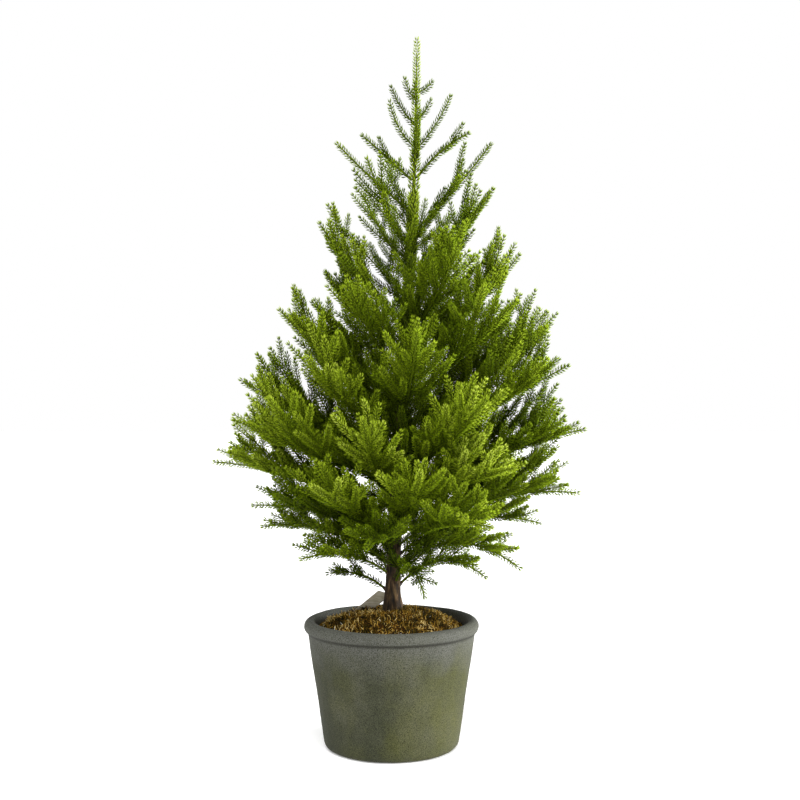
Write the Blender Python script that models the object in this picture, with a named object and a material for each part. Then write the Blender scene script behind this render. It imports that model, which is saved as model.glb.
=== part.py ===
# A potted artificial tabletop tree: a turned planter with its filling, a trunk on a steel rod,
# and branches that each bend on the wire at their root. Lengths are metres and +Z is up.
# The origin is the middle of the planter's flat bottom, and -Y is the front.

import math
import random

import bmesh
import bpy
from mathutils import Vector

for item in list(bpy.data.objects):
    bpy.data.objects.remove(item, do_unlink=True)


# ---------------------------------------------------------------- overall sizes
TREE_HEIGHT = 0.914  # floor to the tip of the leader
CROWN_BASE = 0.200  # floor to the lowest branch
CROWN_SPREAD = 0.250  # trunk to the tip of the longest branch
FIT_GAP = 0.0003  # between pieces that touch
SHARP_EDGE = 40.0  # degrees between faces from which an edge stays crisp

# ---------------------------------------------------------------- planter
PLANTER_HEIGHT = 0.1636
FOOT_RADIUS = 0.0877  # where the rounded bottom edge meets the wall
SHOULDER_RADIUS = 0.1085  # just under the rolled rim
RIM_ROLL_RADIUS = 0.0083  # the roll's own section
RIM_OVERHANG = 0.0051  # how far the roll stands out past the shoulder
ROLL_START = -50  # degrees below level where the roll leaves the wall
EDGE_ROUNDING = 0.0085
EDGE_STEPS = 4
ROLL_STEPS = 8
PLANTER_WALL = 0.0095
PLANTER_FLOOR = 0.0140
TURN_STEPS = 48

# ---------------------------------------------------------------- filling
BALLAST_TOP = 0.046
FOAM_TOP = 0.140
MOSS_AT_WALL = 0.1515
MOSS_AT_TRUNK = 0.1765
MOSS_STEPS = 5

# ---------------------------------------------------------------- trunk
TRUNK_FOOT = 0.024  # how high the trunk's lower end stands in the ballast
LEADER_PLACE = 72  # percent of the crown's height where the leader takes over from the trunk
TRUNK_RADIUS = 0.0096
TRUNK_TOP_RADIUS = 0.0042
ROOT_FLARE = 0.0026  # how much the trunk swells at the moss
ROOT_FLARE_HEIGHT = 0.022
TRUNK_LEAN = 0.033  # how far the tip stands to the right of the foot
LEAN_POWER = 0.8
TRUNK_SWAY = 0.003
TRUNK_RINGS = 18
TRUNK_SIDES = 12
ROD_RADIUS = 0.0020
ROD_SHORT_OF_TOP = 0.115  # from the rod's upper end to the trunk's
ROD_SIDES = 8

# ---------------------------------------------------------------- brace strip
BRACE_WIDTH = 0.015
BRACE_THICKNESS = 0.0022
BRACE_HIGH = 0.196  # where its upper end leans on the trunk
BRACE_REACH = 0.068  # from the trunk's axis to its foot in the moss
BRACE_BEARING = 150.0  # degrees round from the right, so it runs back and left

# ---------------------------------------------------------------- branches
STEM_RADIUS = 0.0018
STEM_TIP_RADIUS = 0.0010
STEM_SIDES = 5
STEM_STEPS = 4
TWIG_RADIUS = 0.0010
TWIG_TIP_RADIUS = 0.0006
TWIG_SIDES = 3
TWIG_SPACING = 0.0165  # along a branch, from one side twig to the next
TWIG_SHARE = 0.42  # the longest side twig as a share of its branch
SHORTEST_TWIG = 0.012
TWIG_ANGLE = 47.0
TWIG_FORWARD_BEND = 15.0
TWIG_LIFT = 14.0
FAN_ROLL = 12.0
BARE_ROOT = 0.16  # share of a branch that carries no side twigs
BARE_TIP = 0.80
BEND_GAP = 0.0005  # free room left at a branch's root when it is bent as far as it goes
ROOT_SWING = 40.0  # degrees of bend that a branch's root leaves room for
PLACE_SCATTER = (0.2, 0.8)  # where a side twig may start within its own share of the branch
REACH_SCATTER = (0.75, 1.1)
SWELL_START = 0.16  # the side twigs' lengths follow a sine arch, from here
SWELL_SPAN = 0.70  # and over this share of its half turn

# ---------------------------------------------------------------- leader
LEADER_RADIUS = 0.0034
LEADER_TIP_RADIUS = 0.0010
LEADER_STEPS = 7
LEADER_SIDES = 6
LEADER_BEND = 12.0  # degrees each way

# Each row is one branch: the height of its root, its bearing round the trunk, how far out its tip
# is, the height of its tip and how much it arches. Heights are in percent of the crown's height,
# bearings in degrees from the right over the back, distances in percent of the crown's spread.
# A negative arch turns the tip up.
BRANCHES = (
    (0.5, 174, 34, 3, 0.12),
    (1.5, 4, 49, 2.5, 0.22),
    (2, 290, 46, 1.5, 0.25),
    (2.5, 112, 60, 5.5, 0.14),
    (3.5, 218, 58, 7.5, 0.10),
    (4, 52, 69, 6.5, 0.15),
    (5, 338, 69, 5.5, 0.18),
    (5.5, 172, 71, 11.5, 0.10),
    (6.5, 258, 62, 10.5, 0.12),
    (7, 10, 80, 12, 0.12),
    (8, 134, 74, 15, 0.10),
    (8.5, 306, 79, 14, 0.08),
    (9, 82, 83, 15.5, 0.10),
    (10, 200, 76, 16.5, 0.06),
    (10.5, 349, 96, 18.5, 0.08),
    (11.5, 236, 71, 20.5, -0.02),
    (12.5, 38, 84, 22, 0.07),
    (13.5, 176, 97, 23.5, 0.06),
    (14, 280, 69, 23, -0.08),
    (15, 100, 87, 25.5, 0.04),
    (15, 316, 80, 23.5, 0.03),
    (18, 3, 100, 29.5, 0.03),
    (18.5, 150, 82, 31.5, 0.02),
    (19.5, 206, 90, 31.5, 0.0),
    (20.5, 255, 64, 31.5, -0.12),
    (21.5, 60, 85, 33.5, 0.02),
    (22.5, 304, 76, 35, -0.06),
    (24, 180, 83, 38.5, -0.02),
    (25, 350, 89, 41, 0.0),
    (26.5, 98, 74, 40, 0.0),
    (28, 225, 64, 42, -0.05),
    (29.5, 22, 91, 49.5, -0.02),
    (30.5, 140, 66, 45.5, 0.0),
    (32, 278, 57, 46, -0.10),
    (34, 188, 64, 51, -0.04),
    (35.5, 330, 66, 52, -0.03),
    (37.5, 70, 62, 52.5, 0.0),
    (39.5, 240, 55, 54.5, -0.06),
    (41.5, 5, 62, 61.5, -0.03),
    (44, 150, 50, 59, -0.03),
    (46.5, 300, 53, 61.5, -0.06),
    (49.5, 190, 46, 66.5, -0.04),
    (52, 45, 46, 68.5, -0.03),
    (55.5, 345, 45, 72.5, -0.02),
    (59, 135, 36, 73.5, -0.03),
    (62.5, 235, 39, 76.5, -0.04),
    (66, 12, 43, 82, -0.02),
    (69.5, 178, 40, 81.5, -0.02),
    (75.5, 352, 28, 83, 0.06),
    (75, 188, 27, 82.5, 0.0),
)

# The leader's own twigs, in the same terms.
LEADER_TWIGS = (
    (77.5, 85, 20, 85.5, 0.0),
    (78, 275, 17, 86, 0.0),
    (80, 354, 18, 89.5, -0.04),
    (80.5, 186, 13, 88.5, -0.08),
    (84.5, 170, 12.5, 91.5, -0.04),
    (85.5, 8, 7.5, 89, -0.05),
    (88, 262, 5, 91.5, -0.05),
    (89, 200, 6, 92.5, -0.08),
    (90.5, 15, 8, 92.5, -0.08),
)


# ---------------------------------------------------------------- shared shapes
def material(name, colour, roughness, metallic=0.0):
    made = bpy.data.materials.new(name)
    made.use_nodes = True
    surface = made.node_tree.nodes["Principled BSDF"]
    surface.inputs["Base Color"].default_value = (*colour, 1.0)
    surface.inputs["Roughness"].default_value = roughness
    surface.inputs["Metallic"].default_value = metallic
    return made


def mesh_object(name, shape, made_of, origin=Vector()):
    """Closes a bmesh into a named object whose mesh is measured from its origin."""
    bmesh.ops.translate(shape, verts=shape.verts, vec=-origin)
    bmesh.ops.recalc_face_normals(shape, faces=shape.faces)
    mesh = bpy.data.meshes.new(name)
    shape.to_mesh(mesh)
    shape.free()
    mesh.materials.append(made_of)
    mesh.shade_smooth()
    mesh.set_sharp_from_angle(angle=math.radians(SHARP_EDGE))
    made = bpy.data.objects.new(name, mesh)
    made.location = origin
    bpy.context.collection.objects.link(made)
    return made


def turned(name, profile, made_of, steps=TURN_STEPS):
    """Turns a closed outline of (radius, height) points round the upright axis."""
    shape = bmesh.new()
    rows = []
    for radius, height in profile:
        if radius == 0.0:
            rows.append([shape.verts.new((0.0, 0.0, height))])
            continue
        turns = [math.tau * step / steps for step in range(steps)]
        rows.append([shape.verts.new((radius * math.cos(a), radius * math.sin(a), height)) for a in turns])
    for below, above in zip(rows, rows[1:] + rows[:1]):
        bridge(shape, below, above)
    return mesh_object(name, shape, made_of)


def bridge(shape, below, above):
    """Fills between two rings, either of which may be a single point."""
    if len(below) == 1 and len(above) == 1:
        return
    count = max(len(below), len(above))
    for step in range(count):
        after = (step + 1) % count
        corners = []
        if len(below) > 1:
            corners += [below[step], below[after]]
        else:
            corners += [below[0]]
        if len(above) > 1:
            corners += [above[after], above[step]]
        else:
            corners += [above[0]]
        shape.faces.new(corners)


def arc(centre, radius, start, end, steps):
    """Points of (radius, height) round a centre, from one angle in degrees to another."""
    turns = [math.radians(start + (end - start) * step / steps) for step in range(steps + 1)]
    return [(centre[0] + radius * math.cos(a), centre[1] + radius * math.sin(a)) for a in turns]


def rings_along(shape, points, radii, sides):
    """Adds a ring of vertices square to the path at each of its points."""
    rings = []
    across = None
    for number, point in enumerate(points):
        before = points[max(number - 1, 0)]
        after = points[min(number + 1, len(points) - 1)]
        ahead = (after - before).normalized()
        if across is None:
            across = ahead.orthogonal()
        across = (across - ahead * across.dot(ahead)).normalized()
        beside = ahead.cross(across)
        ring = []
        for side in range(sides):
            turn = math.tau * side / sides
            reach = across * math.cos(turn) + beside * math.sin(turn)
            ring.append(shape.verts.new(point + reach * radii[number]))
        rings.append(ring)
    return rings


def add_rod(shape, points, radii, sides):
    """Adds a round bar with closed ends along a path."""
    rings = rings_along(shape, points, radii, sides)
    for below, above in zip(rings, rings[1:]):
        bridge(shape, below, above)
    shape.faces.new(list(reversed(rings[0])))
    shape.faces.new(rings[-1])


def tapered(start, end, count):
    return [start + (end - start) * number / (count - 1) for number in range(count)]


# ---------------------------------------------------------------- the trunk's line
def crown_height(percent):
    return CROWN_BASE + (TREE_HEIGHT - CROWN_BASE) * percent / 100


TRUNK_TOP = crown_height(LEADER_PLACE)
ROD_TOP = TRUNK_TOP - ROD_SHORT_OF_TOP


def trunk_axis(height):
    """The middle of the trunk, and of the leader above it, at a height."""
    share = max(0.0, (height - MOSS_AT_TRUNK) / (TREE_HEIGHT - MOSS_AT_TRUNK))
    sway = -TRUNK_SWAY * math.sin(math.tau * share)
    return Vector((TRUNK_LEAN * share**LEAN_POWER + sway, sway, height))


def trunk_radius(height):
    """The trunk's radius: straight below the moss, a flare at it, then a long taper."""
    above = max(0.0, height - MOSS_AT_TRUNK)
    taper = above / (TRUNK_TOP - MOSS_AT_TRUNK)
    flare = ROOT_FLARE * math.exp(-above / ROOT_FLARE_HEIGHT)
    return TRUNK_RADIUS + (TRUNK_TOP_RADIUS - TRUNK_RADIUS) * taper + flare


def leader_radius(height):
    share = (height - TRUNK_TOP) / (TREE_HEIGHT - TRUNK_TOP)
    return LEADER_RADIUS + (LEADER_TIP_RADIUS - LEADER_RADIUS) * share


# ---------------------------------------------------------------- planter and filling
SOCKET_RADIUS = TRUNK_RADIUS + ROOT_FLARE + FIT_GAP
ROLL_MIDDLE = (SHOULDER_RADIUS + RIM_OVERHANG - RIM_ROLL_RADIUS, PLANTER_HEIGHT - RIM_ROLL_RADIUS)
SHOULDER_HEIGHT = ROLL_MIDDLE[1] - RIM_ROLL_RADIUS


def outer_radius(height):
    """The planter's outer wall: a straight taper from the foot, upright above the shoulder."""
    share = (min(height, SHOULDER_HEIGHT) - EDGE_ROUNDING) / (SHOULDER_HEIGHT - EDGE_ROUNDING)
    return FOOT_RADIUS + (SHOULDER_RADIUS - FOOT_RADIUS) * share


def inner_radius(height):
    return outer_radius(height) - PLANTER_WALL


def planter():
    edge_middle = (FOOT_RADIUS - EDGE_ROUNDING, EDGE_ROUNDING)
    inner_turn = math.degrees(math.acos((inner_radius(SHOULDER_HEIGHT) - ROLL_MIDDLE[0]) / RIM_ROLL_RADIUS))
    outline = [(0.0, 0.0)]
    outline += arc(edge_middle, EDGE_ROUNDING, -90, 0, EDGE_STEPS)
    outline.append((SHOULDER_RADIUS, SHOULDER_HEIGHT))
    outline += arc(ROLL_MIDDLE, RIM_ROLL_RADIUS, ROLL_START, inner_turn, ROLL_STEPS)
    outline.append((inner_radius(SHOULDER_HEIGHT), SHOULDER_HEIGHT))
    outline.append((inner_radius(PLANTER_FLOOR), PLANTER_FLOOR))
    outline.append((0.0, PLANTER_FLOOR))
    turned("planter", outline, material("fibre_clay", (0.11, 0.12, 0.075), 0.85))


def filling(name, bottom, top, made_of):
    """A ring that fills the planter between two heights and leaves the trunk's socket open."""
    outline = [
        (SOCKET_RADIUS, bottom),
        (inner_radius(bottom) - FIT_GAP, bottom),
        (inner_radius(top) - FIT_GAP, top),
        (SOCKET_RADIUS, top),
    ]
    return turned(name, outline, made_of)


def ballast():
    bottom = PLANTER_FLOOR + FIT_GAP
    outline = [
        (0.0, bottom),
        (inner_radius(bottom) - FIT_GAP, bottom),
        (inner_radius(BALLAST_TOP) - FIT_GAP, BALLAST_TOP),
        (SOCKET_RADIUS, BALLAST_TOP),
        (SOCKET_RADIUS, TRUNK_FOOT - FIT_GAP),
        (0.0, TRUNK_FOOT - FIT_GAP),
    ]
    turned("cement_ballast", outline, material("cement", (0.32, 0.31, 0.29), 0.9))


def moss():
    """A low mound from the planter's wall up to the trunk, with a slot where the brace goes in."""
    bottom = FOAM_TOP + FIT_GAP
    edge = inner_radius(MOSS_AT_WALL) - FIT_GAP
    outline = [(SOCKET_RADIUS, bottom), (inner_radius(bottom) - FIT_GAP, bottom)]
    for step in range(MOSS_STEPS + 1):
        share = step / MOSS_STEPS
        rise = math.sin(share * math.pi / 2)
        outline.append(
            (
                edge + (SOCKET_RADIUS - edge) * share,
                MOSS_AT_WALL + (MOSS_AT_TRUNK - MOSS_AT_WALL) * rise,
            )
        )
    mound = turned("moss_mat", outline, material("dried_moss", (0.09, 0.055, 0.012), 1.0))
    slot = brace_bar("brace_slot", FIT_GAP)
    slot.hide_render = True
    slot.display_type = "WIRE"
    cut = mound.modifiers.new("brace slot", "BOOLEAN")
    cut.object = slot


# ---------------------------------------------------------------- trunk, rod and brace
def trunk():
    """Moulded bark on the trunk's line, with a bore from below for the steel rod."""
    wood = material("moulded_bark", (0.035, 0.024, 0.012), 0.9)
    shape = bmesh.new()
    heights = tapered(TRUNK_FOOT, TRUNK_TOP, TRUNK_RINGS)
    outside = rings_along(
        shape, [trunk_axis(z) for z in heights], [trunk_radius(z) for z in heights], TRUNK_SIDES
    )
    bore_heights = tapered(TRUNK_FOOT, ROD_TOP + FIT_GAP, TRUNK_RINGS)
    bore = rings_along(
        shape, [trunk_axis(z) for z in bore_heights], [ROD_RADIUS + FIT_GAP] * TRUNK_RINGS, TRUNK_SIDES
    )
    for rings in (outside, bore):
        for below, above in zip(rings, rings[1:]):
            bridge(shape, below, above)
        shape.faces.new(rings[-1])
    bridge(shape, outside[0], bore[0])
    mesh_object("trunk", shape, wood)


def core_rod():
    shape = bmesh.new()
    heights = tapered(TRUNK_FOOT, ROD_TOP, TRUNK_RINGS)
    add_rod(shape, [trunk_axis(z) for z in heights], [ROD_RADIUS] * TRUNK_RINGS, ROD_SIDES)
    mesh_object("core_rod", shape, material("steel_rod", (0.35, 0.35, 0.36), 0.4, 1.0))


def brace_bar(name, grown):
    """The flat strip from the trunk to the foam, or that strip grown by a gap all round.

    Its ends are cut upright, so that the upper one lies along the trunk.
    """
    bearing = math.radians(BRACE_BEARING)
    outward = Vector((math.cos(bearing), math.sin(bearing), 0.0))
    aside = Vector((-outward.y, outward.x, 0.0)) * (BRACE_THICKNESS / 2 + grown)
    slope = math.atan2(BRACE_HIGH - FOAM_TOP, BRACE_REACH)
    tall = BRACE_WIDTH / 2 / math.cos(slope)
    high = trunk_axis(BRACE_HIGH) + outward * (trunk_radius(BRACE_HIGH - tall) + 2 * FIT_GAP)
    low = outward * BRACE_REACH
    low.z = FOAM_TOP + 2 * FIT_GAP + tall
    upright = Vector((0.0, 0.0, tall + grown))
    shape = bmesh.new()
    rings = []
    for end in (high - outward * grown, low + outward * grown):
        corners = (end + aside + upright, end - aside + upright, end - aside - upright, end + aside - upright)
        rings.append([shape.verts.new(corner) for corner in corners])
    bridge(shape, rings[0], rings[1])
    shape.faces.new(list(reversed(rings[0])))
    shape.faces.new(rings[1])
    return mesh_object(name, shape, material(name, (0.24, 0.21, 0.16), 0.8))


# ---------------------------------------------------------------- branches
def bowed(start, end, arch, steps):
    """A path from start to end that bows upward by a share of its length."""
    middle = (start + end) / 2
    straight = end - start
    level = Vector((0.0, 0.0, 1.0)).cross(straight).normalized()
    middle += straight.cross(level).normalized() * straight.length * arch * 2
    path = []
    for step in range(steps + 1):
        share = step / steps
        path.append(start * (1 - share) ** 2 + middle * 2 * share * (1 - share) + end * share**2)
    return path


def point_along(path, share):
    """The point at a share of a path's length, and the way the path runs there."""
    place = share * (len(path) - 1)
    number = min(int(place), len(path) - 2)
    ahead = path[number + 1] - path[number]
    return path[number] + ahead * (place - number), ahead.normalized()


def branch_path(row, carrier_radius):
    """The middle line of a branch's stem. Its first point is on the joint's axis."""
    root_place, bearing, reach, tip_place, arch = row
    turn = math.radians(bearing)
    outward = Vector((math.cos(turn), math.sin(turn), 0.0))
    height = crown_height(root_place)
    axis = trunk_axis(height)
    tip = axis + outward * CROWN_SPREAD * reach / 100
    tip.z = crown_height(tip_place)
    steep = (tip - axis).normalized().z
    sideways = abs(steep) + math.sin(math.radians(ROOT_SWING))
    start = axis + outward * (carrier_radius + STEM_RADIUS * sideways)
    start += outward * BEND_GAP
    return bowed(start, tip, arch, STEM_STEPS)


def twig_paths(path, chance):
    """Side twigs that leave a branch by turns to the left and to the right, longest near its middle."""
    length = sum((after - before).length for before, after in zip(path, path[1:]))
    roll = math.radians(chance.uniform(-FAN_ROLL, FAN_ROLL))
    count = int(length * (BARE_TIP - BARE_ROOT) / TWIG_SPACING)
    twigs = []
    for number in range(count):
        share = BARE_ROOT + (BARE_TIP - BARE_ROOT) * (number + chance.uniform(*PLACE_SCATTER)) / count
        root, ahead = point_along(path, share)
        level = Vector((0.0, 0.0, 1.0)).cross(ahead).normalized()
        upward = ahead.cross(level)
        side = 1 if number % 2 else -1
        lift = roll * side + math.radians(chance.uniform(0.0, TWIG_LIFT))
        beside = level * side * math.cos(lift) + upward * math.sin(lift)
        swell = math.sin(math.pi * (SWELL_START + SWELL_SPAN * share))
        reach = length * TWIG_SHARE * swell * chance.uniform(*REACH_SCATTER)
        twigs.append(twig_path(root, ahead, beside, max(reach, SHORTEST_TWIG)))
    return twigs


def twig_path(root, ahead, beside, reach):
    """A twig that leaves at an angle and then bends forward."""
    first = math.radians(TWIG_ANGLE)
    second = math.radians(TWIG_ANGLE - TWIG_FORWARD_BEND)
    middle = root + (ahead * math.cos(first) + beside * math.sin(first)) * reach / 2
    tip = middle + (ahead * math.cos(second) + beside * math.sin(second)) * reach / 2
    return [root, middle, tip]


def branch_body(name, path, twigs, sides, start_radius, tip_radius, made_of):
    """A stem and its side twigs, joined into one solid whose origin is the stem's root."""
    stem = bmesh.new()
    add_rod(stem, path, tapered(start_radius, tip_radius, len(path)), sides)
    body = mesh_object(name, stem, made_of, path[0])
    if not twigs:
        return
    spray = bmesh.new()
    for twig in twigs:
        add_rod(spray, twig, tapered(TWIG_RADIUS, TWIG_TIP_RADIUS, len(twig)), TWIG_SIDES)
    guide = mesh_object(name + "_twigs", spray, made_of, path[0])
    guide.hide_render = True
    guide.display_type = "WIRE"
    join = body.modifiers.new("side twigs", "BOOLEAN")
    join.operation = "UNION"
    join.object = guide


def carrier_radius(height):
    """The radius of what a branch grows from: the trunk, or the leader above it."""
    if height > TRUNK_TOP:
        return leader_radius(height)
    return trunk_radius(height)


def branches():
    green = material("green_plastic", (0.055, 0.080, 0.012), 0.6)
    for number, row in enumerate(BRANCHES, 1):
        path = branch_path(row, carrier_radius(crown_height(row[0])))
        twigs = twig_paths(path, random.Random(number))
        branch_body(f"branch_{number:02}", path, twigs, STEM_SIDES, STEM_RADIUS, STEM_TIP_RADIUS, green)


def leader():
    """The topmost stem, with its short twigs, on a wire in the trunk's top."""
    gap = FIT_GAP + BEND_GAP + LEADER_RADIUS * math.sin(math.radians(LEADER_BEND))
    path = [trunk_axis(z) for z in tapered(TRUNK_TOP + gap, TREE_HEIGHT, LEADER_STEPS)]
    twigs = []
    for row in LEADER_TWIGS:
        twig = branch_path(row, 0.0)
        twig[0] = trunk_axis(crown_height(row[0]))
        twigs.append(twig)
    made_of = material("leader_green", (0.11, 0.13, 0.025), 0.6)
    branch_body("leader", path, twigs, LEADER_SIDES, LEADER_RADIUS, LEADER_TIP_RADIUS, made_of)


planter()
ballast()
filling("foam_block", BALLAST_TOP + FIT_GAP, FOAM_TOP, material("foam", (0.62, 0.60, 0.52), 1.0))
moss()
trunk()
core_rod()
brace_bar("brace_strip", 0.0)
branches()
leader()
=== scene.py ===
import math
import random

import bpy
import numpy as np
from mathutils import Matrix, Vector, noise


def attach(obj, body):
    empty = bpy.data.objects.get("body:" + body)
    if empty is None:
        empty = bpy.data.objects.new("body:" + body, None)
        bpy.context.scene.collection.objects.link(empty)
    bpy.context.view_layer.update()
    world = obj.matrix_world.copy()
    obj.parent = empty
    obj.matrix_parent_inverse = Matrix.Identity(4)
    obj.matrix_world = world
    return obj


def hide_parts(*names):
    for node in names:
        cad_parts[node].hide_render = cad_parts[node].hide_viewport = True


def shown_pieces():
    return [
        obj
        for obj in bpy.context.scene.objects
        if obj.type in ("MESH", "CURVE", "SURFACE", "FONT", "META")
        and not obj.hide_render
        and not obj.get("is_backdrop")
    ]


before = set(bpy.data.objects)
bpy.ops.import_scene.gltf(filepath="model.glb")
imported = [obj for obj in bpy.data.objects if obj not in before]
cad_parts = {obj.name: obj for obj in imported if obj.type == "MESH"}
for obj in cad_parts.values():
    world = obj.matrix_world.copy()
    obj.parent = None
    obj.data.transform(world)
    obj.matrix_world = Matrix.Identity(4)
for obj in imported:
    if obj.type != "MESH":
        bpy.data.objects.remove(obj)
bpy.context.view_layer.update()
up = np.array([0.0, 0.0, 1.0])


# ---- small helpers
def setMode(mode):
    bpy.ops.object.mode_set(mode=mode)


def clearSelection():
    active = bpy.context.object
    if active and active.mode != "OBJECT":
        setMode("OBJECT")
    bpy.ops.object.select_all(action="DESELECT")


def pick(*pieces):
    clearSelection()
    for piece in pieces:
        piece.select_set(True)
    bpy.context.view_layer.objects.active = pieces[0]


def selectWhole():
    bpy.ops.mesh.select_all(action="SELECT")


def newFinish(name, roughness, specular=0.4):
    finish = bpy.data.materials.new(name)
    finish.use_nodes = True
    shader = finish.node_tree.nodes["Principled BSDF"]
    shader.inputs["Roughness"].default_value = roughness
    shader.inputs["Specular IOR Level"].default_value = specular
    return finish, finish.node_tree, shader


def addNode(graph, kind, **settings):
    node = graph.nodes.new(kind)
    for name, value in settings.items():
        if name in node.inputs:
            node.inputs[name].default_value = value
        else:
            setattr(node, name, value)
    return node


def addRamp(graph, source, stops):
    ramp = graph.nodes.new("ShaderNodeValToRGB")
    points = ramp.color_ramp.elements
    while len(points) < len(stops):
        points.new(0.5)
    for point, (place, colour) in zip(points, stops):
        point.position = place
        point.color = (*linear(colour), 1.0)
    graph.links.new(source, ramp.inputs["Fac"])
    return ramp.outputs["Color"]


def linear(colour):
    # screen colours 0-255 to the shader's own scale
    shares = [value / 255 for value in colour]
    return [s / 12.92 if s <= 0.04045 else ((s + 0.055) / 1.055) ** 2.4 for s in shares]


def addMix(graph, kind, factor, first, second):
    mix = graph.nodes.new("ShaderNodeMix")
    mix.data_type = "RGBA"
    mix.blend_type = kind
    if isinstance(factor, float):
        mix.inputs["Factor"].default_value = factor
    else:
        graph.links.new(factor, mix.inputs["Factor"])
    graph.links.new(first, mix.inputs["A"])
    graph.links.new(second, mix.inputs["B"])
    return mix.outputs["Result"]


def addPattern(graph, kind, source, stretch=(1.0, 1.0, 1.0), **settings):
    place = addNode(graph, "ShaderNodeMapping", Scale=stretch)
    graph.links.new(source, place.inputs["Vector"])
    pattern = addNode(graph, kind, **settings)
    graph.links.new(place.outputs["Vector"], pattern.inputs["Vector"])
    return pattern


def objectSpot(graph):
    return addNode(graph, "ShaderNodeTexCoord").outputs["Object"]


def splitAxes(graph, source):
    split = addNode(graph, "ShaderNodeSeparateXYZ")
    graph.links.new(source, split.inputs["Vector"])
    return split.outputs


def stripPlace(graph):
    # where a point lies on the colour strip: X picks the tone, Y runs from root to tip
    marks = addNode(graph, "ShaderNodeUVMap", uv_map="OFBake")
    return splitAxes(graph, marks.outputs["UV"])


def plainColour(graph, colour):
    plain = addNode(graph, "ShaderNodeRGB")
    plain.outputs["Color"].default_value = (*linear(colour), 1)
    return plain.outputs["Color"]


def addMath(graph, kind, source, *values):
    # each value is a number or another node's output
    step = addNode(graph, "ShaderNodeMath", operation=kind)
    graph.links.new(source, step.inputs[0])
    for number, value in enumerate(values, 1):
        if isinstance(value, float):
            step.inputs[number].default_value = value
        else:
            graph.links.new(value, step.inputs[number])
    return step.outputs["Value"]


def paint(graph, colour, shader):
    graph.links.new(colour, shader.inputs["Base Color"])


def addNoise(graph, source, stretch=(1.0, 1.0, 1.0), **settings):
    return addPattern(graph, "ShaderNodeTexNoise", source, stretch, **settings).outputs["Fac"]


def addBump(graph, shader, height, strength, distance):
    bump = addNode(graph, "ShaderNodeBump", Strength=strength, Distance=distance)
    graph.links.new(height, bump.inputs["Height"])
    graph.links.new(bump.outputs["Normal"], shader.inputs["Normal"])


def finishPiece(piece, name, finish, body, slotName, *nodes):
    pick(piece)
    piece.name = name
    piece.data.name = name
    piece.data.materials.clear()
    piece.data.materials.append(finish)
    bpy.ops.object.transform_apply(location=True, rotation=True, scale=True)
    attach(piece, body)
    if nodes:
        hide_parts(*nodes)
    clearSelection()


def raiseRings(rings):
    # each ring is (radius, height, x, y): the open edge is extruded to it and scaled to its radius
    for before, after in zip(rings, rings[1:]):
        step = (after[2] - before[2], after[3] - before[3], after[1] - before[1])
        bpy.ops.mesh.extrude_edges_move(TRANSFORM_OT_translate={"value": step})
        grow = after[0] / before[0]
        bpy.ops.transform.resize(value=(grow, grow, 1.0))


def startRing(sides, ring):
    clearSelection()
    bpy.ops.mesh.primitive_circle_add(
        vertices=sides, radius=ring[0], fill_type="NGON", location=(ring[2], ring[3], ring[1])
    )
    piece = bpy.context.object
    bpy.ops.object.transform_apply(location=True)
    setMode("EDIT")
    bpy.ops.mesh.select_mode(type="EDGE")
    return piece


def closeRings(sharp):
    bpy.ops.mesh.edge_face_add()
    selectWhole()
    bpy.ops.mesh.normals_make_consistent(inside=False)
    setMode("OBJECT")
    bpy.ops.object.shade_smooth_by_angle(angle=math.radians(sharp))


def selectPoints(piece, wanted):
    # leaves the piece in edit mode with only the wanted vertices selected
    setMode("EDIT")
    bpy.ops.mesh.select_mode(type="VERT")
    bpy.ops.mesh.select_all(action="DESELECT")
    setMode("OBJECT")
    for vertex in piece.data.vertices:
        vertex.select = wanted(vertex.co)
    setMode("EDIT")


def shiftPoints(piece, shift):
    # moves every vertex along its own normal by what shift(place) gives
    for vertex in piece.data.vertices:
        vertex.co += vertex.normal * shift(vertex.co)
    piece.data.update()


# ---- the tree's own lines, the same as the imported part's
tree = {
    "height": 0.914,
    "crownBase": 0.200,
    "spread": 0.250,
    "mossTop": 0.1765,
    "trunkFoot": 0.024,
    "leaderPlace": 72,
    "trunkRadius": 0.0096,
    "trunkTopRadius": 0.0042,
    "rootFlare": 0.0026,
    "flareHeight": 0.022,
    "lean": 0.033,
    "leanPower": 0.8,
    "sway": 0.003,
    "stemRadius": 0.0018,
    "stemTip": 0.0010,
    "leaderRadius": 0.0034,
    "leaderTip": 0.0010,
    "leaderBend": 12.0,
    "bendGap": 0.0005,
    "fitGap": 0.0003,
    "rootSwing": 40.0,
}

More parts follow.
